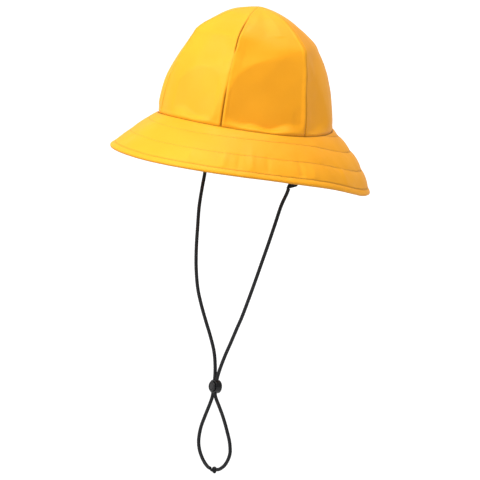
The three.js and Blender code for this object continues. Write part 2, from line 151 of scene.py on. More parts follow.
def add_camera():
    data = bpy.data.cameras.new("camera")
    camera = new_object("camera", data)
    towards_camera = Vector(direction(CAMERA_AZIMUTH, CAMERA_ELEVATION))
    picture_width = PICTURE_SIDE / PIXELS_PER_METRE
    data.sensor_width = SENSOR_WIDTH
    data.lens = SENSOR_WIDTH * CAMERA_DISTANCE / picture_width
    data.clip_end = VIEW_DEPTH
    upright = towards_camera.to_track_quat("Z", "Y").to_matrix().to_4x4()
    place = Matrix.Translation(PICTURE_CENTRE + towards_camera * CAMERA_DISTANCE)
    camera.matrix_world = place @ upright @ Matrix.Rotation(CAMERA_ROLL, 4, "Z")
    bpy.context.scene.camera = camera


add_camera()


# Meshes


def add_mesh(name, points, faces, finishes, inner=None, values=None):
    """A smooth shaded mesh of points in millimetres. inner says which faces have the second finish,
    and values holds named numbers for each point, which the materials read."""
    mesh = bpy.data.meshes.new(name)
    mesh.from_pydata((np.asarray(points).reshape(-1, 3) * METRES).tolist(), [], faces)
    for finish in finishes:
        mesh.materials.append(finish)
    if inner is not None:
        mesh.polygons.foreach_set("material_index", np.asarray(inner, int))
    for key, numbers in (values or {}).items():
        attribute = mesh.attributes.new(key, "FLOAT", "POINT")
        attribute.data.foreach_set("value", np.asarray(numbers, np.float32).ravel())
    mesh.polygons.foreach_set("use_smooth", np.ones(len(mesh.polygons), bool))
    mesh.update()
    return new_object(name, mesh)


def grid_faces(rows, cols, close_rows=False, close_cols=False):
    """Quads of a grid whose point number is row * cols + col."""
    row = np.arange(rows if close_rows else rows - 1)[:, None]
    col = np.arange(cols if close_cols else cols - 1)[None, :]
    next_row = (row + 1) % rows * cols
    next_col = (col + 1) % cols
    row = row * cols
    corners = [row + col, row + next_col, next_row + next_col, next_row + col]
    return np.stack([corner.ravel() for corner in corners], axis=1).tolist()


def end_caps(rows, cols):
    """The first and the last ring of a tube, as faces."""
    return [list(range(cols))[::-1], list(range((rows - 1) * cols, rows * cols))]


FRAME_START = (0.31, 0.87, 0.38)


def parallel_frames(path):
    """Two unit vectors across a path at each point, which turn as little as they can."""
    along = unit(np.gradient(path, axis=0))
    side = np.zeros_like(path)
    side[0] = unit(np.cross(along[0], FRAME_START))
    for step in range(1, len(path)):
        carried = side[step - 1] - along[step] * (side[step - 1] @ along[step])
        side[step] = unit(carried)
    return side, np.cross(along, side)


def lengths_along(path):
    """Distances from the first point along a path, or along each column of a grid of points."""
    steps = np.linalg.norm(np.diff(path, axis=0), axis=-1)
    return np.concatenate([np.zeros_like(steps[:1]), np.cumsum(steps, axis=0)])


def points_at(places, lengths, path):
    """Points at places along a path whose own points lie at the given lengths."""
    return np.stack([np.interp(places, lengths, path[:, axis]) for axis in range(3)], axis=1)


# Chin cord

CORD_DIAMETER = 3.8
BRAID_STRANDS = 8
BRAID_PITCH = 1.5
BRAID_RELIEF = 0.17
BRAID_SIDES = 32
BRAID_SPACING = 0.4
CORD_END_ROUNDING = 0.8

LOCK_CENTRE = np.array([0, 3.4, -280.2])
LOCK_ANGLE = math.radians(15)
BARREL_DIAMETER = 14.2
GAP = 0.3
STRAND_OFFSET = (CORD_DIAMETER + GAP) / 2

TAB_TIP_X = 57.5
TAB_EXIT_Y = 13.6
TAB_DROP = 62
TAB_COVER = 0.5

KNOT_CENTRE = np.array([8.8, 7, -366.8])
KNOT_WIDTH = 7.2
KNOT_HEIGHT = 8.4
KNOT_TURN = math.radians(40)
KNOT_TILT = LOCK_ANGLE + math.radians(25)
KNOT_STRAND = 0.72 * CORD_DIAMETER
TAIL_START = 1.2
TAIL_PROUD = 1.6

LEFT_ABOVE = [
    (56.6, 13.1, -67), (54.3, 9.3, -80), (52.2, 5.4, -100), (49.2, 2.6, -120), (45.2, 0.3, -141),
    (40.4, -1.0, -162), (34.6, -1.4, -183), (28.4, -1.0, -202), (22.6, 0.2, -215), (16.2, 1.4, -230),
    (9.4, 2.4, -246), (4.6, 2.9, -260),
]
RIGHT_ABOVE = [
    (-57.1, 13.1, -67), (-55.0, 9.3, -80), (-52.6, 5.4, -100), (-49.0, 2.6, -120), (-45.4, 0.3, -141),
    (-41.2, -1.0, -162), (-35.2, -1.4, -183), (-27.6, -1.0, -200), (-20.2, 0.2, -215), (-12.6, 1.6, -230),
    (-6.4, 2.9, -245), (-3.0, 3.5, -260),
]
LEFT_BELOW = [
    (3.4, 4.2, -293.2), (8.0, 4.7, -300), (14.6, 5.1, -310), (21.6, 5.6, -323), (27.2, 6.1, -336),
    (28.6, 6.4, -347), (23.7, 6.7, -358.5), (16.5, 6.9, -364.6),
]
RIGHT_BELOW = [
    (-3.0, 4.4, -293.2), (-5.6, 4.8, -301), (-10.0, 5.3, -313), (-14.3, 5.7, -327), (-15.1, 6.1, -341),
    (-12.0, 6.4, -351), (-5.0, 6.7, -360.5), (1.6, 6.9, -365.2),
]


def through_lock(side):
    """The three points that a strand passes in the lock, on the side given by +1 or -1."""
    x = side * STRAND_OFFSET * math.cos(LOCK_ANGLE)
    y = LOCK_CENTRE[1] - side * STRAND_OFFSET * math.sin(LOCK_ANGLE)
    reach = BARREL_DIAMETER / 2 + 1
    return [(x, y, LOCK_CENTRE[2] - step * reach) for step in (-1, 0, 1)]


def knot_entry(start):
    """Where a strand that comes from a given point meets the knot."""
    towards = unit(np.array(start) - KNOT_CENTRE)
    across = math.hypot(towards[0], towards[1]) / (KNOT_WIDTH / 2)
    upwards = towards[2] / (KNOT_HEIGHT / 2)
    return KNOT_CENTRE + towards * (1 / math.hypot(across, upwards) + GAP)


def centripetal_curve(points, steps=24):
    """A smooth curve through points, on which far points pull no harder than near ones."""
    points = [np.array(point, float) for point in points]
    points = [2 * points[0] - points[1], *points, 2 * points[-1] - points[-2]]
    curve = []
    t = np.linspace(0, 1, steps, endpoint=False)[:, None]
    gaps = [math.sqrt(np.linalg.norm(b - a)) for a, b in zip(points, points[1:])]
    for first, (gap_in, gap, gap_out) in enumerate(zip(gaps, gaps[1:], gaps[2:])):
        before, start, end, after = points[first : first + 4]
        slope_in = (start - before) / gap_in - (end - before) / (gap_in + gap) + (end - start) / gap
        slope_out = (end - start) / gap - (after - start) / (gap + gap_out) + (after - end) / gap_out
        curve.append(cubic(start, end, slope_in * gap, slope_out * gap, t))
    return np.concatenate([*curve, [points[-2]]])


def strand_route(side, above, below):
    """A strand's evenly spaced points, from its tab through the lock to the knot."""
    start = (side * TAB_TIP_X, TAB_EXIT_Y, -TAB_DROP - GAP)
    route = [start, *above, *through_lock(side), *below, knot_entry(below[-1])]
    curve = centripetal_curve(route)
    lengths = lengths_along(curve)
    count = round(lengths[-1] / BRAID_SPACING) + 1
    return points_at(np.linspace(0, lengths[-1], count), lengths, curve)


def braid_height(angle, length):
    """Height of a braided cord's surface, from 0 between its strands to 1 on top of one."""
    climb = TURN * length / BRAID_PITCH / 2
    left, right = BRAID_STRANDS * angle + climb, BRAID_STRANDS * angle - climb
    left_hump, right_hump = 0.5 + 0.5 * np.cos(left), 0.5 + 0.5 * np.cos(right)
    left_on_top = (np.round(left / TURN) + np.round(right / TURN)) % 2 < 1
    over = np.where(left_on_top, left_hump, right_hump)
    under = np.where(left_on_top, right_hump, left_hump)
    return np.maximum(over**0.7, 0.55 * under)


def braided_tube(name, path, diameter, closed=False, blunt_start=False):
    """A round-ended tube along a path, with the strands of a round braid in relief."""
    side, up = parallel_frames(path)
    angle = np.arange(BRAID_SIDES) * TURN / BRAID_SIDES
    length = lengths_along(path)[:, None]
    height = braid_height(angle, length)
    radius = diameter / 2 - BRAID_RELIEF * (1 - height)
    if not closed:
        from_end = length[-1] - length
        if not blunt_start:
            from_end = np.minimum(length, from_end)
        inwards = 1 - np.clip(from_end / CORD_END_ROUNDING, 0, 1)
        radius = radius * np.sqrt(1 - inwards**2 * 0.9)
    points = (
        path[:, None]
        + side[:, None] * (radius * np.cos(angle))[..., None]
        + up[:, None] * (radius * np.sin(angle))[..., None]
    )
    rows, cols = points.shape[:2]
    faces = grid_faces(rows, cols, close_rows=closed, close_cols=True)
    if not closed:
        faces += end_caps(rows, cols)
    return add_mesh(name, points, faces, [CORD], values={"height": height})


# Materials


def node_adder(tree):
    """A function that adds a node to a tree. An input is a value or another node's output."""

    def add(kind, inputs=None, **settings):
        node = tree.nodes.new("ShaderNode" + kind)
        for key, value in settings.items():
            setattr(node, key, value)
        for key, value in (inputs or {}).items():
            if isinstance(value, bpy.types.NodeSocket):
                tree.links.new(value, node.inputs[key])
            else:
                node.inputs[key].default_value = value
        return node

    return add


def new_finish(name, **sockets):
    """A material, and functions that add nodes and link them to its shader. sockets holds values
    for the shader's own sockets, with underscores for spaces."""
    finish = bpy.data.materials.new(name)
    finish.use_nodes = True
    tree = finish.node_tree
    shader = next(node for node in tree.nodes if node.type == "BSDF_PRINCIPLED")
    for key, value in sockets.items():
        shader.inputs[key.replace("_", " ")].default_value = value

    def link(output, socket):
        tree.links.new(output, shader.inputs[socket])

    return finish, node_adder(tree), link


def object_place(add):
    return add("TexCoord").outputs["Object"]


def moved_place(add, x, y, z):
    inputs = {"Vector": object_place(add), "Location": (x, y, z)}
    return add("Mapping", inputs).outputs["Vector"]


def attribute(add, name):
    return add("Attribute", attribute_name=name).outputs["Fac"]


def colour_ramp(add, value, stops):
    """A colour for a value between 0 and 1, from two stops of a place and a colour."""
    ramp = add("ValToRGB", {"Fac": value})
    for element, (place, colour) in zip(ramp.color_ramp.elements, stops):
        element.position = place
        element.color = (*colour, 1)
    return ramp.outputs["Color"]


def bump(add, height, strength, distance, under=None):
    """The surface's normal, tilted by a height. under is a normal that it starts from."""
    inputs = {"Height": height, "Strength": strength, "Distance": distance}
    if under:
        inputs["Normal"] = under
    return add("Bump", inputs).outputs["Normal"]


def wave(add, place, scale, along, **more):
    inputs = {"Vector": place, "Scale": scale, **more}
    return add("TexWave", inputs, bands_direction=along).outputs["Fac"]


def noise(add, place, scale, detail=3):
    """Noise with features of 1 / scale metres."""
    inputs = {"Vector": place, "Scale": scale, "Detail": detail}
    return add("TexNoise", inputs).outputs["Fac"]


def mixed(add, share, first, second):
    """Two colours mixed by a share."""
    return add("Mix", {0: share, 6: first, 7: second}, data_type="RGBA").outputs[2]


def ranged(add, value, low, high, to_low, to_high):
    """A value moved from one range to another."""
    ends = {"From Min": low, "From Max": high, "To Min": to_low, "To Max": to_high}
    return add("MapRange", {"Value": value, **ends}).outputs["Result"]


def product(add, first, second):
    return add("Math", {0: first, 1: second}, operation="MULTIPLY").outputs["Value"]


def summed(add, first, second):
    return add("Math", {0: first, 1: second}, operation="ADD").outputs["Value"]


def coated_cloth(name, seed):
    """Smooth waterproof coating over a fine knit, which shows through it. The crease value is 1 in the
    seams and folds, where painted shade darkens the coating's colour and the coating is rougher, as if
    more worn."""
    finish, add, link = new_finish(name, Specular_IOR_Level=0.2)
    place = moved_place(add, seed, 2 * seed, 0)
    crease_shade = attribute(add, "crease_shade")
    blotches = noise(add, place, 18, detail=2)
    tone = colour_ramp(add, blotches, [(0.3, (0.72, 0.289, 0.005)), (0.7, (0.78, 0.324, 0.008))])
    # deep is the dark colour of the painted shade that the crease value mixes in, in seams, stitch rows,
    # the hem and the base seam.
    deep = (0.1, 0.05, 0.003, 1)
    link(mixed(add, ranged(add, crease_shade, 0, 1, 0, 0.95), tone, deep), "Base Color")
    knit = add("TexVoronoi", {"Vector": place, "Scale": 1300}).outputs["Distance"]
    grain = summed(add, knit, noise(add, place, 1500, detail=2))
    fine = bump(add, product(add, grain, 0.5), 0.12, 0.00012)
    link(bump(add, noise(add, place, 90), 0.25, 0.0006, fine), "Normal")
    worn = ranged(add, noise(add, place, 45), 0.3, 0.7, 0.5, 0.62)
    link(summed(add, worn, product(add, crease_shade, 0.15)), "Roughness")
    return finish


def cloth_back(name):
    """The cloth's uncoated inside: a fine knit, a little paler than the coating."""
    sheen = {"Sheen_Weight": 0.2, "Sheen_Roughness": 0.6, "Sheen_Tint": (1, 0.8, 0.4, 1)}
    finish, add, link = new_finish(name, **sheen)
    place = object_place(add)
    blotches = noise(add, place, 60)
    tone = colour_ramp(add, blotches, [(0.3, (0.78, 0.36, 0.04)), (0.7, (0.86, 0.42, 0.06))])
    loops = {"Distortion": 1.5, "Detail": 1, "Detail Scale": 2}
    upright, crossing = (wave(add, place, 420, along, **loops) for along in ("Z", "DIAGONAL"))
    knit = product(add, upright, crossing)
    # The darker colour mixed in between the knit's loops, where the bump sinks, is painted shade.
    knit_gap_shade = (0.6, 0.25, 0.02, 1)
    link(mixed(add, ranged(add, knit, 0, 0.5, 0.35, 0), tone, knit_gap_shade), "Base Color")
    link(bump(add, knit, 0.35, 0.0003), "Normal")
    link(ranged(add, knit, 0, 1, 0.9, 0.75), "Roughness")
    return finish


def thread(name):
    finish, add, link = new_finish(name)
    twist = wave(add, object_place(add), 1600, "DIAGONAL")
    # The colour is darker where the twist's bump sinks, as painted shade in its grooves.
    tones = [(0.2, (0.62, 0.24, 0.005)), (0.8, (0.76, 0.31, 0.008))]
    link(colour_ramp(add, twist, tones), "Base Color")
    link(ranged(add, twist, 0, 1, 0.7, 0.5), "Roughness")
    link(bump(add, twist, 0.4, 0.0001), "Normal")
    return finish


def braided_cord(name):
    """Black polyester braid. height is 1 on top of a strand and 0 between two strands."""
    finish, add, link = new_finish(name, Specular_IOR_Level=0.25)
    fibres = noise(add, object_place(add), 5200, detail=2)
    # The colour is darker between the strands, as painted shade, and lighter on top of them, as painted
    # highlight.
    lit = product(add, attribute(add, "height"), ranged(add, fibres, 0.35, 0.65, 0.6, 1))
    tones = [(0, (0.001, 0.001, 0.0013)), (1, (0.007, 0.0073, 0.0095))]
    link(colour_ramp(add, lit, tones), "Base Color")
    link(ranged(add, fibres, 0.3, 0.7, 0.75, 0.5), "Roughness")
    link(bump(add, fibres, 0.5, 0.0001), "Normal")
    return finish


def webbing(name):
    """Black polyester webbing with the fine ribs of its weave."""
    finish, add, link = new_finish(name, Specular_IOR_Level=0.15)
    place = object_place(add)
    weave = product(add, wave(add, place, 320, "Z"), wave(add, place, 380, "Y"))
    # The colour is darker between the ribs, where the weave's bump sinks, as painted shade.
    tones = [(0, (0.001, 0.001, 0.001)), (0.8, (0.006, 0.006, 0.0065))]
    link(colour_ramp(add, weave, tones), "Base Color")
    link(ranged(add, weave, 0, 1, 0.9, 0.65), "Roughness")
    link(bump(add, weave, 0.6, 0.0003), "Normal")
    return finish


def moulded_plastic(name, seed):
    """Dark moulded plastic with a fine spark-eroded texture and a little rubbing."""
    finish, add, link = new_finish(name, Specular_IOR_Level=0.27)
    place = moved_place(add, seed, 0, seed)
    rubbed = noise(add, place, 320, detail=4)
    tones = [(0.35, (0.003, 0.003, 0.0034)), (0.75, (0.008, 0.008, 0.009))]
    link(colour_ramp(add, rubbed, tones), "Base Color")
    link(ranged(add, rubbed, 0.3, 0.7, 0.18, 0.32), "Roughness")
    link(bump(add, noise(add, place, 4200, detail=2), 0.2, 0.00008), "Normal")
    return finish


CROWN_CLOTH = coated_cloth("crown_cloth", 0.3)
BRIM_CLOTH = coated_cloth("brim_cloth", 1.1)
CLOTH_BACK = cloth_back("cloth_back")
THREAD = thread("thread")
CORD = braided_cord("cord")
WEBBING = webbing("webbing")
PLASTIC = moulded_plastic("lock_plastic", 0.2)
BUTTON_PLASTIC = moulded_plastic("button_plastic", 0.9)


# Cords: the two strands, and the knot that ends them


def add_knot():
    """A small overhand knot: a strand laid in three crossing turns."""
    turn = np.linspace(0, TURN, 180, endpoint=False)
    half_width = (KNOT_WIDTH - KNOT_STRAND) / 2
    flat_x = (np.sin(turn) + 1.3 * np.sin(2 * turn)) / 2.3 * half_width
    flat_z = (np.cos(turn) - 1.3 * np.cos(2 * turn)) / 2.3 * half_width * KNOT_HEIGHT / KNOT_WIDTH
    deep = -np.sin(3 * turn) * CORD_DIAMETER * 0.42
    across = flat_x * math.cos(KNOT_TURN) - flat_z * math.sin(KNOT_TURN)
    up = flat_x * math.sin(KNOT_TURN) + flat_z * math.cos(KNOT_TURN)
    x = across * math.cos(KNOT_TILT) - deep * math.sin(KNOT_TILT)
    y = across * math.sin(KNOT_TILT) + deep * math.cos(KNOT_TILT)
    loop = stack(x, y, up) + KNOT_CENTRE
    return braided_tube("cord_knot_turns", loop, KNOT_STRAND, closed=True)


def add_tail(name, towards):
    """A short end of the cord, which stands out of the knot."""
    reach = np.linspace(TAIL_START, KNOT_WIDTH / 2 + TAIL_PROUD, 16)
    path = KNOT_CENTRE + unit(np.array(towards)) * reach[:, None]
    return braided_tube(name, path, CORD_DIAMETER * 0.95)


for name, side, above, below in (
    ("chin_cord_left", 1, LEFT_ABOVE, LEFT_BELOW),
    ("chin_cord_right", -1, RIGHT_ABOVE, RIGHT_BELOW),
):
    route = strand_route(side, above, below)
    strand = braided_tube(name + "_braid", route, CORD_DIAMETER, blunt_start=True)
    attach(strand, "hat")
    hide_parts(name)
    length = float(lengths_along(route)[-1])
    print(name, "is", round(length, 1), "mm long")


# Crown

CROWN_LENGTH = 200
CROWN_WIDTH = 164
CROWN_HEIGHT = 119
CROWN_WALL = 1.6
SEAM_RISE = (2.5, -3, 0)

CROWN_SECTIONS = columns("up front side back bow", [
    (0.0, 1.0, 1.0, 1.0, 1.0),
    (0.1, 0.995, 1.0, 0.995, 0.95),
    (0.28, 0.965, 0.963, 0.96, 0.82),
    (0.42, 0.92, 0.936, 0.91, 0.66),
    (0.53, 0.868, 0.911, 0.85, 0.52),
    (0.62, 0.81, 0.879, 0.785, 0.42),
    (0.705, 0.755, 0.84, 0.712, 0.34),
    (0.78, 0.7, 0.735, 0.6, 0.3),
    (0.85, 0.572, 0.62, 0.475, 0.28),
    (0.905, 0.435, 0.5, 0.36, 0.28),
    (0.945, 0.33, 0.37, 0.255, 0.28),
    (0.98, 0.18, 0.165, 0.13, 0.3),
    (1.0, 0.012, 0.012, 0.012, 0.3),
])

LAST_SECTION = len(CROWN_SECTIONS["up"]) - 1

GORES = 6
GORE_TURN = TURN / GORES
GORE_NAMES = ("front", "front_left", "back_left", "back", "back_right", "front_right")
SEAM_COLUMNS = ("front", "side", "back", "back", "side", "front")
GORE_COLUMNS = 64
ROWS_PER_SECTION = 10
GORE_EDGE_GAP = 0.03

# Folds: the gore, where the fold's line starts and ends as (across, up), its rise, its reach above
# and below the line, and how round its crest is. across goes from 0 at the gore's first seam to 1 at
# its second, and up from 0 at the base to 1 at the top. The rest are shares of the crown's height.
CROWN_FOLDS = [
    (1, (0.2, 0.62), (0.45, 0.8), -0.016, 0.14, 0.2, 0.05),
    (1, (0.92, 0.03), (0.94, 0.16), -0.01, 0.06, 0.06, 0.02),
    (2, (0.25, 0.2), (0.3, 0.6), -0.014, 0.2, 0.2, 0.04),
    (0, (0.9, 0.3), (0.75, 0.55), -0.012, 0.22, 0.2, 0.05),
    (5, (0.0, 0.7), (1.0, 0.16), 0.022, 0.3, 0.4, 0.03),
    (4, (0.7, 0.2), (0.6, 0.65), -0.014, 0.2, 0.24, 0.05),
]

# Flats that the cloth has sunk into, a row for each gore. Each is a plane that faces an azimuth and
# an elevation in degrees. away is how far it is from the hat's axis, as a share of the base
# outline's distance that way.
CROWN_FLATS = columns("azimuth elevation away", [
    (6, 12, 0.968), (65.5, 7, 0.888), (100, 8, 0.968), (174, 10, 0.962), (238, 10, 0.965),
    (282, 8, 0.955),
])
FLAT_EDGE = 0.7

# Dents of the worn cloth: size and height in millimetres, and the seed of the noise
CROWN_DENTS = [(21, 0.28, 3), (9, 0.07, 4)]
BRIM_DENTS = [(26, 0.5, 12), (11, 0.12, 13)]

# The seams between the gores, from the base to the top. groove and ridge say in millimetres how far
# the cloth sinks into the seam or stands up beside it.
FOLDED_SEAM = columns("up groove ridge", [
    (0.0, 1.3, 0.45), (0.28, 1.2, 0.4), (0.36, 0.12, 0.3), (0.62, 0.1, 0.1), (0.68, 1.2, 0.3),
    (0.86, 1.2, 0.2), (0.93, 0.5, 0.1), (1.0, 0.3, 0.0),
])
RAISED_SEAM = columns("up groove ridge", [
    (0.0, 0.7, 0.2), (0.3, 0.6, 0.15), (0.58, 0.55, 0.15), (0.66, 0.2, 0.55), (0.8, 0.25, 0.5),
    (0.88, 0.5, 0.15), (1.0, 0.3, 0.0),
])
SEAM_FORMS = (FOLDED_SEAM, FOLDED_SEAM, RAISED_SEAM) * 2
SEAM_SINK_WIDTH = 0.9


def around_hat(front, side, back, angle):
    """A value that changes smoothly round the hat, given in front, at the sides and at the back."""
    middle = ((front + back) / 2 + side) / 2
    forward = (front - back) / 2
    ends = ((front + back) / 2 - side) / 2
    return middle + forward * np.cos(angle) + ends * np.cos(2 * angle)


def outline_point(angle, share):
    """A point of the crown's base outline, scaled by a share of it."""
    x = CROWN_WIDTH / 2 * share * np.sin(angle)
    return stack(x, -CROWN_LENGTH / 2 * share * np.cos(angle), 0)


def seam_rise(angle):
    """Height of the seam between crown and brim."""
    return around_hat(*SEAM_RISE, angle)


def crown_section(place):
    """The crown's section at fractional row numbers of its table."""
    return {key: smooth_column(values, place) for key, values in CROWN_SECTIONS.items()}


def crown_normal(angle, place):
    """Outward direction of the crown's cloth, which two gores share along their seam."""
    nearby = 0.05
    lower = crown_section(np.clip(place - nearby, 0, LAST_SECTION))
    upper = crown_section(np.clip(place + nearby, 0, LAST_SECTION))
    level = unit(stack(np.sin(angle) / CROWN_WIDTH, -np.cos(angle) / CROWN_LENGTH, 0))
    climb = (upper["up"] - lower["up"]) * CROWN_HEIGHT
    narrowing = sum(lower[key] - upper[key] for key in ("front", "side", "back")) / 3
    narrowing = narrowing * (CROWN_LENGTH + CROWN_WIDTH) / 4
    return unit(level * climb[..., None] + stack(0, 0, narrowing))


def fold_lift(gore, across, up):
    """How far the folds lift the cloth at places on a gore, as a share of the crown's height."""
    gore_width = CROWN_WIDTH / 2 / CROWN_HEIGHT
    place = np.stack(np.broadcast_arrays(across * gore_width, up), axis=-1)
    lift = np.zeros(place.shape[:-1])
    for on_gore, start, end, rise, above, below, crest in CROWN_FOLDS:
        if on_gore != gore:
            continue
        start, end = np.array([start, end]) * (gore_width, 1)
        along = end - start
        share = np.clip((place - start) @ along / (along @ along), 0, 1)
        nearest = start + share[..., None] * along
        from_crest = np.hypot(np.linalg.norm(place - nearest, axis=-1), crest) - crest
        reach = np.where(place[..., 1] > nearest[..., 1], above, below)
        share = np.clip(1 - from_crest / reach, 0, 1)
        lift += rise * share * share / (0.12 + 0.88 * share)
    return lift


def press_flat(gore, point, depth, share):
    """Moves a gore's points back to its flat, by the share given at each point."""
    facing = direction(CROWN_FLATS["azimuth"][gore], CROWN_FLATS["elevation"][gore])
    outline = math.hypot(facing[0] * CROWN_WIDTH / 2, facing[1] * CROWN_LENGTH / 2)
    over = point @ facing + depth - CROWN_FLATS["away"][gore] * outline
    near = np.clip((over + FLAT_EDGE) / (2 * FLAT_EDGE), 0, 1)
    pressed = np.where(over > FLAT_EDGE, over, FLAT_EDGE * near * near)
    return point - facing * (pressed * share)[..., None]


def seam_column(gore, across, up, key):
    """The groove or the ridge of the seam that is nearer, at places on a gore."""
    start, end = (
        np.interp(up, form["up"], form[key])
        for form in (SEAM_FORMS[gore], SEAM_FORMS[(gore + 1) % GORES])
    )
    return np.where(across < 0.5, start, end)


def seam_relief(gore, across, up, width):
    """How far the seams lift the cloth at places on a gore, and how much painted shade darkens their
    grooves.
    """
    from_seam = np.minimum(across, 1 - across) * width
    groove = seam_column(gore, across, up, "groove")
    sink = hump(from_seam, 0, SEAM_SINK_WIDTH)
    lift = seam_column(gore, across, up, "ridge") * hump(from_seam, 2.4, 1.5) - groove * sink
    ripples = smooth_noise(stack(up * CROWN_HEIGHT, across * 3, gore * 40.0), 4.5, 31) * 0.28
    lift = lift + ripples * hump(from_seam, 3, 2.5) * smooth_step(1, 0.85, up)
    # The second value is painted shade, darkest in the middle of the seam's groove.
    return lift, sink * groove * 0.6


def gore_surface(gore, across, place, depth=0, fine=False):
    """Points of a gore at depth below its outer face, the painted shade of their creases, and their
    normals. fine adds the seams' grooves and small creases, with painted shade in the grooves."""
    section = crown_section(place)
    up = section["up"]
    start_angle = (gore - 0.5) * GORE_TURN
    start_share = section[SEAM_COLUMNS[gore - 1]]
    end_share = section[SEAM_COLUMNS[gore]]
    start = outline_point(start_angle, start_share)
    end = outline_point(start_angle + GORE_TURN, end_share)
    flat = blend(start, end, across[..., None])
    angle = start_angle + across * GORE_TURN
    rounded = outline_point(angle, blend(start_share, end_share, across))
    normal = crown_normal(angle, place)
    point = blend(flat, rounded, section["bow"][..., None]) - normal * depth
    point[..., 2] += up * CROWN_HEIGHT + seam_rise(angle) * (1 - up) ** 2
    flare = 0.085 + 0.035 * np.sin(across * 5 + gore * 2.3) + 0.015 * np.sin(across * 17 + gore)
    from_seam = np.minimum(across, 1 - across)
    share = smooth_step(0, 0.07, from_seam) * smooth_step(0.1 * flare, flare, up)
    point = press_flat(gore, point, depth, share)
    fade = smooth_step(0, 0.16, from_seam) * smooth_step(0, 0.1, up)
    lift = fold_lift(gore, across, up) * CROWN_HEIGHT * fade
    crease_shade = np.zeros(lift.shape)
    if fine:
        seam_lift, crease_shade = seam_relief(gore, across, up, np.linalg.norm(end - start, axis=-1))
        lift = lift + seam_lift
    return point + normal * lift[..., None], crease_shade, normal


def add_gore(gore):
    place = np.linspace(0, LAST_SECTION, LAST_SECTION * ROWS_PER_SECTION + 1)[:, None]
    spread = np.linspace(-1, 1, GORE_COLUMNS + 1)[None, :]
    across = 0.5 + 0.3 * np.sin(spread * math.pi / 2) + 0.2 * spread
    start = gore_surface(gore, np.zeros_like(place), place)[0]
    end = gore_surface(gore, np.ones_like(place), place)[0]
    edge = GORE_EDGE_GAP / np.maximum(np.linalg.norm(end - start, axis=-1), 0.5)
    across = blend(edge, 1 - edge, across)
    place = np.broadcast_to(place, across.shape)
    outer, crease_shade, normal = gore_surface(gore, across, place, fine=True)
    inner, _, _ = gore_surface(gore, across, place, CROWN_WALL)
    from_base = crown_section(place)["up"] * CROWN_HEIGHT
    roll = hump(from_base, 0, 1.2)
    lift = dents(outer, CROWN_DENTS) * (1 - roll) + 0.5 * hump(from_base, 2.2, 2) - 0.25 * roll
    outer = outer + normal * lift[..., None]
    outer[..., 2] -= 0.35 * roll
    loop = np.concatenate([outer, inner[::-1]])
    values = np.concatenate([np.clip(crease_shade, 0, 1), np.zeros_like(crease_shade)])
    rows, cols = loop.shape[:2]
    faces = grid_faces(rows, cols, close_rows=True)
    is_inner = np.repeat(np.arange(rows) >= rows // 2 - 1, cols - 1)
    for row in range(rows // 2 - 1):
        low, high = row * cols, (row + 1) * cols
        inner_low, inner_high = (rows - 1 - row) * cols, (rows - 2 - row) * cols
        faces.append([inner_low, low, high, inner_high])
        faces.append([point + cols - 1 for point in (low, inner_low, inner_high, high)])
    is_inner = np.concatenate([is_inner, np.zeros(len(faces) - len(is_inner), bool)])
    name = "crown_" + GORE_NAMES[gore]
    finishes = [CROWN_CLOTH, CLOTH_BACK]
    piece = add_mesh(name + "_cloth", loop, faces, finishes, is_inner, {"crease_shade": values})
    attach(piece, "hat")
    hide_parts(name)


for gore in range(GORES):
    add_gore(gore)


# Brim

BRIM_REACH_ENDS = 50
BRIM_REACH_SIDE = 41
BRIM_DROP = 62
BRIM_WALL = 2.6
HEM_WALL = 3.2
SEAM_DEPTH = 3
BRIM_COLUMNS = 640
BRIM_ROWS = 84
UNDER_ROWS = 60
HEM_ROWS = 8

BRIM_SECTIONS = columns("out down", [
    (0.0, 0.0), (0.16, 0.125), (0.36, 0.305), (0.56, 0.505), (0.74, 0.7), (0.88, 0.865),
    (0.93, 0.925), (1.0, 1.0),
])

# The brim's edge, every 30 degrees from the back over the wearer's right, the front and the left.
# swell is how far the lower half of the brim stands out of its slope, as a share of the drop.
BRIM_EDGE = columns("reach drop swell", [
    (1.0, 1.0, 0.04), (1.0, 0.97, 0.04), (1.0, 0.9, 0.035), (1.0, 0.765, 0.02),
    (1.0, 0.63, 0.0), (1.0, 0.6, 0.0), (1.0, 0.615, 0.0), (1.0, 0.64, 0.0),
    (1.0, 0.685, 0.01), (1.0, 0.785, 0.02), (1.03, 0.965, 0.045), (1.05, 1.0, 0.045),
])

# Rows of stitching, as millimetres of cloth from the brim's edge, and where the last quilted
# channel would end. A row ends where it meets the crown.
STITCH_ROWS = (5.0, 25.0, 48.0, 69.0)
QUILT_END = 94.0

# Values in front, at the sides and at the back: heights in millimetres of the quilting and of the small
# pulls beside a row, and how strong the painted shade is along the hem's and the other rows' creases.
QUILT_PUFF = (0.2, 0.7, 1.7)
ROW_PULLS = (0.2, 0.4, 0.55)
HEM_SHADE = (0.4, 0.8, 0.9)
ROW_SHADE = (0.03, 0.38, 0.85)
CREASE_SHADE_WIDTH = 0.5
HEM_PUFF = 0.5
STITCH_LENGTH = 3.1
STITCH_PITCH = 3.8
THREAD_RADIUS = 0.24
ROW_END = 2.5

# Puckers in the brim: degrees from the front, millimetres from the edge, width, length and rise.
# EDGE_RADIUS turns degrees into millimetres along the edge.
EDGE_RADIUS = 125
PUCKERS = [
    (38, 16, 4.0, 13, 0.9), (45, 15, 3.0, 12, -0.7), (51, 16, 3.6, 14, 0.8), (59, 15, 3.0, 10, -0.6),
    (76, 14, 3.4, 12, -1.0), (83, 16, 5.0, 14, 0.7), (104, 15, 4.0, 12, 0.6), (21, 14, 5.0, 12, 0.5),
]


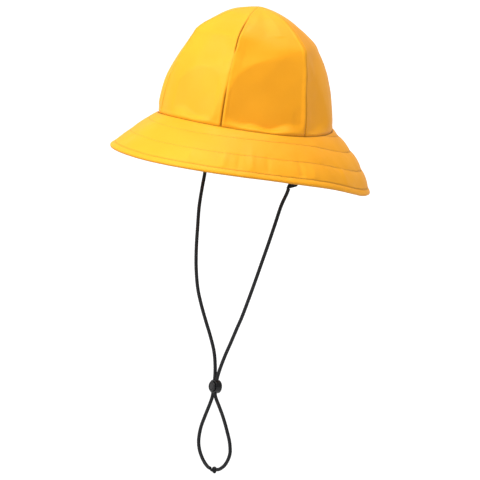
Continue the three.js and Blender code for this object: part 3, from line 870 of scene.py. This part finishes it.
def brim_surface(angle, place):
    """Points of the brim's smooth upper face at fractional rows of its sections."""
    turn = len(BRIM_EDGE["reach"]) * (angle / TURN + 0.5)
    reach, drop, swell = (
        smooth_column(BRIM_EDGE[key], turn, closed=True) for key in ("reach", "drop", "swell")
    )
    out, down = (smooth_column(BRIM_SECTIONS[key], place) for key in ("out", "down"))
    drop = drop * BRIM_DROP + seam_rise(angle)
    swell = swell * BRIM_DROP * np.sin(math.pi * np.clip(out, 0, 1) ** 1.6) * math.sqrt(0.5)
    outwards = stack(BRIM_REACH_SIDE * np.sin(angle), -BRIM_REACH_ENDS * np.cos(angle), 0)
    point = outline_point(angle, 1) + outwards * (reach * out)[..., None]
    point[..., 2] += seam_rise(angle) - GAP / 2 - drop * down + swell
    return point + stack(np.sin(angle), -np.cos(angle), 0) * swell[..., None]


BRIM_ANGLES = np.arange(BRIM_COLUMNS) * TURN / BRIM_COLUMNS - math.pi
BRIM_PLACES = np.linspace(0, len(BRIM_SECTIONS["out"]) - 1, 200)
BRIM_LENGTHS = lengths_along(brim_surface(BRIM_ANGLES, BRIM_PLACES[:, None]))
BRIM_WIDTHS = BRIM_LENGTHS[-1]


def brim_relief(points, from_edge):
    """How far the quilting, hem, puckers and wear lift the cloth, and how much painted shade darkens its
    creases.
    """
    lift = np.zeros(from_edge.shape)
    crease_shade = np.zeros(from_edge.shape)
    puff = around_hat(*QUILT_PUFF, BRIM_ANGLES)
    for near, far in zip(STITCH_ROWS, (*STITCH_ROWS[1:], QUILT_END)):
        share = np.clip((from_edge - near) / (far - near), 0, 1)
        lift += puff * np.sin(math.pi * share) ** 0.6
    hem = STITCH_ROWS[0]
    hem_share = np.clip(np.clip(from_edge / hem, 0, 1) + 0.25, 0, 1)
    lift += HEM_PUFF * np.sin(math.pi * hem_share) ** 0.5 * (from_edge < hem)
    # Painted shade along each row of stitching, a narrow dark line that is strongest at the back.
    for row in STITCH_ROWS:
        strength = around_hat(*(HEM_SHADE if row == hem else ROW_SHADE), BRIM_ANGLES)
        if row != hem:
            strength = strength * (1 + 0.7 * smooth_noise(points, 17, 21))
        crease_shade = np.maximum(crease_shade, strength * hump(from_edge, row, CREASE_SHADE_WIDTH))
    for degrees, place, width, length, rise in PUCKERS:
        turn = (BRIM_ANGLES - math.radians(degrees) + math.pi) % TURN - math.pi
        pucker = hump(turn * EDGE_RADIUS, 0, width) * hump(from_edge, place, length)
        lift += rise * pucker * smooth_step(0, 3, np.abs(from_edge - hem))
    near_row = np.min([np.abs(from_edge - row) for row in STITCH_ROWS], axis=0)
    pulls = smooth_noise(points, 7, 11) * around_hat(*ROW_PULLS, BRIM_ANGLES)
    lift += pulls * np.exp(-near_row / 6) * smooth_step(0, 2, near_row) + dents(points, BRIM_DENTS)
    return lift, crease_shade


def add_brim():
    """The brim with its hem. Returns both faces, the normals and the distance from the edge."""
    share = np.linspace(0, 1, BRIM_ROWS)
    place = [
        np.interp(share * lengths[-1], lengths, BRIM_PLACES) for lengths in BRIM_LENGTHS.T
    ]
    upper = brim_surface(BRIM_ANGLES, np.stack(place, axis=1))
    onwards = np.roll(upper, -1, axis=1) - np.roll(upper, 1, axis=1)
    normals = unit(np.cross(np.gradient(upper, axis=0), onwards))
    from_edge = (1 - share)[:, None] * BRIM_WIDTHS
    from_seam = BRIM_WIDTHS - from_edge
    lift, crease_shade = brim_relief(upper, from_edge)
    fade = smooth_step(0, 3, from_seam)
    groove = hump(from_seam, 0.7, 0.7)
    outer = upper + normals * (lift * fade - 0.4 * groove)[..., None]
    # Painted shade in the groove at the seam, where the crown's lip overhangs the brim.
    crease_shade = np.maximum(crease_shade, 0.9 * groove)
    wall = blend(BRIM_WALL, HEM_WALL, 1 - smooth_step(5.5, 7.5, from_edge))
    # The underside gets painted shade along its own rows of stitching.
    under_lift, under_crease_shade = brim_relief(upper[:, ::-1] + 50, from_edge)
    under = upper - normals * (wall + 0.5 * under_lift[:, ::-1] * fade)[..., None]
    hem_turns = np.linspace(0, math.pi, HEM_ROWS + 2)[1:-1]
    downhill = unit(upper[-1] - upper[-2])
    middle = (outer[-1] + under[-1]) / 2
    half = (outer[-1] - under[-1]) / 2
    bulge = np.linalg.norm(half, axis=-1)[:, None] * downhill
    hem = [middle + half * math.cos(t) + bulge * math.sin(t) for t in hem_turns]
    # Painted shade on the hem's lower turns, a dark line along the brim's bottom edge.
    hem_shade = np.repeat(0.5 * smooth_step(0.5, 1.5, hem_turns)[:, None], BRIM_COLUMNS, axis=1)
    seat_normal = crown_normal(BRIM_ANGLES, np.zeros(BRIM_COLUMNS))
    seat = outline_point(BRIM_ANGLES, 1) - seat_normal * CROWN_WALL
    seat[:, 2] += seam_rise(BRIM_ANGLES)
    seat_low = seat - (0, 0, SEAM_DEPTH)
    keep = np.linspace(BRIM_ROWS - 1, 2, UNDER_ROWS).round().astype(int)
    loop = np.concatenate([seat[None], outer, np.array(hem), under[keep], seat_low[None]])
    values = np.concatenate([crease_shade[:1], crease_shade, hem_shade, under_crease_shade[keep], crease_shade[:1]])
    faces = grid_faces(*loop.shape[:2], close_rows=True, close_cols=True)
    faces = [face[::-1] for face in faces]
    piece = add_mesh("brim_cloth", loop, faces, [BRIM_CLOTH], values={"crease_shade": values})
    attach(piece, "hat")
    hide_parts("brim")
    return outer, under, normals, from_edge


# Stitches


def stitch_template(sides=5):
    """A short arched thread along X that dips into the cloth at both ends."""
    along = np.array([-0.5, -0.42, 0, 0.42, 0.5]) * STITCH_LENGTH
    height = np.array([-0.35, -0.02, 0.12, -0.02, -0.35])[:, None]
    radius = np.array([0.46, 0.85, 1, 0.85, 0.46])[:, None] * THREAD_RADIUS
    angle = np.arange(sides) * TURN / sides
    points = stack(along[:, None], radius * np.cos(angle), height + radius * np.sin(angle))
    faces = grid_faces(len(along), sides, close_cols=True) + end_caps(len(along), sides)
    return points.reshape(-1, 3), faces


def stitches_along(path, normals):
    """Points of stitches laid along a path on the cloth, the count for one, and its faces."""
    template, faces = stitch_template()
    lengths = lengths_along(path)
    middles = (np.arange(int(lengths[-1] / STITCH_PITCH)) + 0.5) * STITCH_PITCH
    ahead = points_at(middles + 1, lengths, path)
    forward = unit(ahead - points_at(middles - 1, lengths, path))
    up = points_at(middles, lengths, normals)
    up = unit(up - forward * np.sum(up * forward, axis=1, keepdims=True))
    axes = np.stack([forward, np.cross(up, forward), up], axis=1)
    points = points_at(middles, lengths, path)[:, None] + template[None] @ axes
    return points.reshape(-1, 3), len(template), faces


def add_stitches(name, surface, normals, from_edge, side):
    """Every stitch row on one face of the brim, as one piece."""
    all_points, all_faces, start = [], [], 0
    for row in STITCH_ROWS:
        for run in sewn_runs(BRIM_WIDTHS > row + ROW_END):
            path, path_normals = (
                np.array([points_at([row], from_edge[::-1, c], grid[::-1, c])[0] for c in run])
                for grid in (surface, normals)
            )
            points, size, faces = stitches_along(path, path_normals * side)
            for stitch in range(len(points) // size):
                all_faces += [[start + stitch * size + corner for corner in face] for face in faces]
            all_points.append(points)
            start += len(points)
    piece = add_mesh(name, np.concatenate(all_points), all_faces, [THREAD])
    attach(piece, "hat")


def sewn_runs(inside):
    """Runs of columns round the brim where a row of stitches is on the cloth."""
    if inside.all():
        return [np.append(np.arange(len(inside)), 0)]
    turned = np.roll(np.arange(len(inside)), -np.argmin(inside))
    parts = np.split(turned, np.flatnonzero(np.diff(inside[turned].astype(int))) + 1)
    return [part for part in parts if inside[part[0]] and len(part) > 4]


outer, under, normals, from_edge = add_brim()
add_stitches("brim_stitches", outer, normals, from_edge, 1)
add_stitches("brim_stitches_under", under, normals, from_edge, -1)


# Webbing tabs

TAB_ANGLE = math.radians(101.5)
TAB_WIDTH = 13
TAB_WALL = 1.8
TAB_TIP_WALL = 4
TAB_SEWN = 12
TAB_GORE = 2
TAB_ROWS = 66
TAB_SIDES = 36
TAB_SECTIONS = columns("down sewn folded", [
    (1.0, 0, 1), (0.97, 0, 1), (0.9, 0, 1), (0.82, 0, 1), (0.76, 0, 0.35), (0.72, 0, 0), (0.6, 0, 0),
    (0.5, 0, 0), (0.4, 0, 0), (0.25, 0, 0), (0.1, 0, 0), (0.0, 0, 0), (0.0, 0.5, 0), (0.0, 1.0, 0),
])


def tab_point(down, sewn, wall, side, depth):
    """A point of the left tab. down goes to 1 at its tip, and sewn to 1 at its top in the crown."""
    angle = TAB_ANGLE + side * TAB_WIDTH / CROWN_LENGTH
    across = angle / GORE_TURN - (TAB_GORE - 0.5)
    up = sewn * TAB_SEWN / CROWN_HEIGHT
    place = np.interp(up, CROWN_SECTIONS["up"], np.arange(LAST_SECTION + 1))
    deep = CROWN_WALL + GAP + depth
    point = gore_surface(TAB_GORE, np.array([across]), np.array([place]), deep)[0][0]
    point[0] = blend(point[0], TAB_TIP_X + wall / 2 - depth, down)
    point[2] -= down * (TAB_DROP + TAB_COVER + point[2])
    folded = float(smooth_step(0.8, 0.97, down))
    point[1] -= folded * (1 - side)
    point[2] += folded * 1.2 * (1 + side)
    return point


def add_tab(name, mirror):
    """A webbing strip, folded round the cord's end at its tip."""
    numbers = np.arange(len(TAB_SECTIONS["down"]))
    rows = np.linspace(0, numbers[-1], TAB_ROWS)
    loops = []
    for row in rows:
        section = {key: float(np.interp(row, numbers, v)) for key, v in TAB_SECTIONS.items()}
        wall = blend(TAB_WALL, TAB_TIP_WALL, section["folded"])
        from_end = min(row * 1.9, (rows[-1] - row) * 8)
        end_round = math.sqrt(max(0.05, 1 - (1 - min(from_end / 1.2, 1)) ** 2))
        loop = []
        for angle in np.arange(TAB_SIDES) * TURN / TAB_SIDES:
            side = math.copysign(abs(math.cos(angle)) ** 0.35, math.cos(angle))
            thick = math.copysign(abs(math.sin(angle)) ** 0.6, math.sin(angle)) * end_round
            depth = wall / 2 * (1 - thick)
            loop.append(tab_point(section["down"], section["sewn"], wall, side, depth))
        loops.append(loop)
    points = np.array(loops)
    faces = grid_faces(TAB_ROWS, TAB_SIDES, close_cols=True) + end_caps(TAB_ROWS, TAB_SIDES)
    if mirror:
        points = points * (-1, 1, 1)
    else:
        faces = [face[::-1] for face in faces]
    piece = add_mesh(name + "_webbing", points, faces, [WEBBING])
    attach(piece, "hat")
    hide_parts(name)


add_tab("cord_tab_left", False)
add_tab("cord_tab_right", True)


# Cord lock

BARREL_LENGTH = 7.4
BARREL_WALL = 1.3
BARREL_ROUNDING = 1.2
BUTTON_PROUD = 2
BUTTON_TRAVEL = 1.5
BUTTON_ROUNDING = 0.8
RIM_ROUNDING = 0.3
BUTTON_RING = [(1.3, 0), (1.5, 0.45), (2.1, 0.5), (2.4, 0.1)]
LOCK_CLEARANCE = 0.3
LOCK_SIDES = 96
BARREL_FRONT = BARREL_LENGTH / 2
BARREL_BACK = -BARREL_LENGTH / 2
BORE_RADIUS = BARREL_DIAMETER / 2 - BARREL_WALL
PLUNGER_RADIUS = BORE_RADIUS - LOCK_CLEARANCE
PASSAGE_HEIGHT = CORD_DIAMETER + 2 * LOCK_CLEARANCE
PASSAGE_WIDTH = 2 * CORD_DIAMETER + GAP + 2 * LOCK_CLEARANCE
PASSAGE_CENTRE = BUTTON_PROUD / 2


def quarter_arc(centre_x, centre_y, radius, start, steps=6):
    angle = np.radians(start + 90 * np.arange(steps + 1) / steps)
    return list(zip(centre_x + radius * np.cos(angle), centre_y + radius * np.sin(angle)))


def rounded_profile(radius, low, high, low_rounding, high_rounding):
    return [
        (0.0, low),
        *quarter_arc(radius - low_rounding, low + low_rounding, low_rounding, -90),
        *quarter_arc(radius - high_rounding, high - high_rounding, high_rounding, 0),
        (0.0, high),
    ]


def turned(name, profile, finish):
    """A solid of revolution about local Y, from (radius, height) pairs. The first and the last
    are on the axis."""
    rings = np.array(profile[1:-1])
    angle = np.arange(LOCK_SIDES) * TURN / LOCK_SIDES
    ring_points = stack(rings[:, :1] * np.sin(angle), rings[:, 1:], rings[:, :1] * np.cos(angle))
    points = [*ring_points.reshape(-1, 3), (0, profile[0][1], 0), (0, profile[-1][1], 0)]
    faces = grid_faces(len(rings), LOCK_SIDES, close_cols=True)
    bottom = len(rings) * LOCK_SIDES
    last_ring = bottom - LOCK_SIDES
    for step in range(LOCK_SIDES):
        following = (step + 1) % LOCK_SIDES
        faces.append([bottom, following, step])
        faces.append([bottom + 1, last_ring + step, last_ring + following])
    return add_mesh(name, points, faces, [finish])


def passage_cutter(longer):
    """The upright passage for both strands, with round ends. longer is added to its length."""
    radius = PASSAGE_HEIGHT / 2
    side = PASSAGE_WIDTH / 2 - radius
    outline = [
        *quarter_arc(side, 0, radius, -90),
        *quarter_arc(side, longer, radius, 0),
        *quarter_arc(-side, longer, radius, 90),
        *quarter_arc(-side, 0, radius, 180),
    ]
    flat = [b for a, b in zip([outline[-1], *outline], outline) if math.dist(a, b) > 1e-6]
    half = BARREL_DIAMETER / 2 + 2
    points = [(x, y + PASSAGE_CENTRE, z) for z in (-half, half) for x, y in flat]
    faces = end_caps(2, len(flat)) + grid_faces(2, len(flat), close_cols=True)
    return add_mesh("cutter", points, faces, [PLASTIC])


def cut_with(piece, cutter):
    """Cuts a closed mesh out of a piece, and removes the cutter."""
    cut = piece.modifiers.new("cut", "BOOLEAN")
    cut.operation = "DIFFERENCE"
    cut.solver = "EXACT"
    cut.object = cutter
    graph = bpy.context.evaluated_depsgraph_get()
    mesh = bpy.data.meshes.new_from_object(piece.evaluated_get(graph))
    piece.modifiers.clear()
    piece.data = mesh
    bpy.data.objects.remove(cutter)


def seat_in_lock(piece, body, node):
    """Turns a finished piece from the lock's own axes into its place on the hat."""
    local = Matrix.Translation((0, -PASSAGE_CENTRE * METRES, 0))
    turn = Matrix.Rotation(math.pi - LOCK_ANGLE, 4, "Z")
    place = Matrix.Translation(Vector(LOCK_CENTRE * METRES))
    piece.data.transform(place @ turn @ local)
    piece.data.set_sharp_from_angle(angle=math.radians(35))
    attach(piece, body)
    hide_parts(node)


def add_lock():
    """The lock's barrel and its button, whose face has a ring pressed into it."""
    rim = RIM_ROUNDING
    outside = rounded_profile(BARREL_DIAMETER / 2, BARREL_BACK, BARREL_FRONT, BARREL_ROUNDING, rim)
    barrel = turned("cord_lock_barrel", outside, PLASTIC)
    bore = rounded_profile(BORE_RADIUS, BARREL_BACK + BARREL_WALL, BARREL_FRONT + 1, rim, rim)
    cut_with(barrel, turned("cutter", bore, PLASTIC))
    cut_with(barrel, passage_cutter(0))
    front = BARREL_FRONT + BUTTON_PROUD
    back = BARREL_BACK + BARREL_WALL + BUTTON_TRAVEL + LOCK_CLEARANCE
    profile = rounded_profile(PLUNGER_RADIUS, back, front, rim, BUTTON_ROUNDING)[:-1]
    profile += [(PLUNGER_RADIUS - inwards, front - sunk) for inwards, sunk in BUTTON_RING]
    profile.append((0.0, front - BUTTON_RING[-1][1] / 2))
    button = turned("cord_lock_push_button", profile, BUTTON_PLASTIC)
    cut_with(button, passage_cutter(BUTTON_TRAVEL))
    seat_in_lock(barrel, "hat", "cord_lock_body")
    seat_in_lock(button, "lock_button", "cord_lock_button")
    return barrel, button


barrel, button = add_lock()


# Knot and its tails

knot = add_knot()
tails = [add_tail("cord_tail_a", (-0.6, 0.8, -0.12)), add_tail("cord_tail_b", (-0.34, 0.86, 0.38))]
for piece in (knot, *tails):
    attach(piece, "hat")
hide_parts("cord_knot")


# Stage

FLOOR_LEVEL = -0.62
FLOOR_RADIUS = 80
FLOOR_SIDES = 64


def add_stage():
    """A plain pale floor, wide enough to reach the horizon in any view. It glows a little away from
    the hat, so that it is as white there as under the lights."""
    pale = {"Base_Color": (0.8, 0.8, 0.8, 1), "Emission_Color": (1, 1, 1, 1)}
    finish, add, link = new_finish("stage", **pale, Roughness=0.9, Specular_IOR_Level=0.1)
    length = add("VectorMath", {0: object_place(add)}, operation="LENGTH")
    link(ranged(add, length.outputs["Value"], 0.8, 3.5, 0.0, 0.5), "Emission Strength")
    angle = np.arange(FLOOR_SIDES) * TURN / FLOOR_SIDES
    radius = FLOOR_RADIUS / METRES
    points = stack(radius * np.cos(angle), radius * np.sin(angle), FLOOR_LEVEL / METRES)
    add_mesh("floor", points, [list(range(FLOOR_SIDES))], [finish])


def add_light(name, azimuth, elevation, distance, size, power):
    """A square soft light that points at the hat."""
    data = bpy.data.lights.new(name, "AREA")
    data.size = size
    data.energy = power
    light = new_object(name, data)
    towards_light = Vector(direction(azimuth, elevation))
    light.location = towards_light * distance
    light.rotation_euler = towards_light.to_track_quat("Z", "Y").to_euler()


def add_world(azimuth, dark, bright):
    """Even white light from all round, brighter from one azimuth than from the other side."""
    world = bpy.data.worlds.new("studio")
    world.use_nodes = True
    tree = world.node_tree
    add = node_adder(tree)
    background = next(node for node in tree.nodes if node.type == "BACKGROUND")
    background.inputs["Color"].default_value = (1, 1, 1, 1)
    inputs = {0: add("TexCoord").outputs["Generated"], 1: direction(azimuth, 0)}
    facing = add("VectorMath", inputs, operation="DOT_PRODUCT").outputs["Value"]
    strength = ranged(add, facing, -1, 1, dark, bright)
    tree.links.new(strength, background.inputs["Strength"])
    bpy.context.scene.world = world


add_stage()
add_world(azimuth=-50, dark=0.5, bright=1.0)
add_light("key", azimuth=-14, elevation=36, distance=2.4, size=1.6, power=61)
add_light("top", azimuth=150, elevation=84, distance=2.2, size=1.4, power=35)
bpy.context.scene.view_settings.view_transform = "Standard"
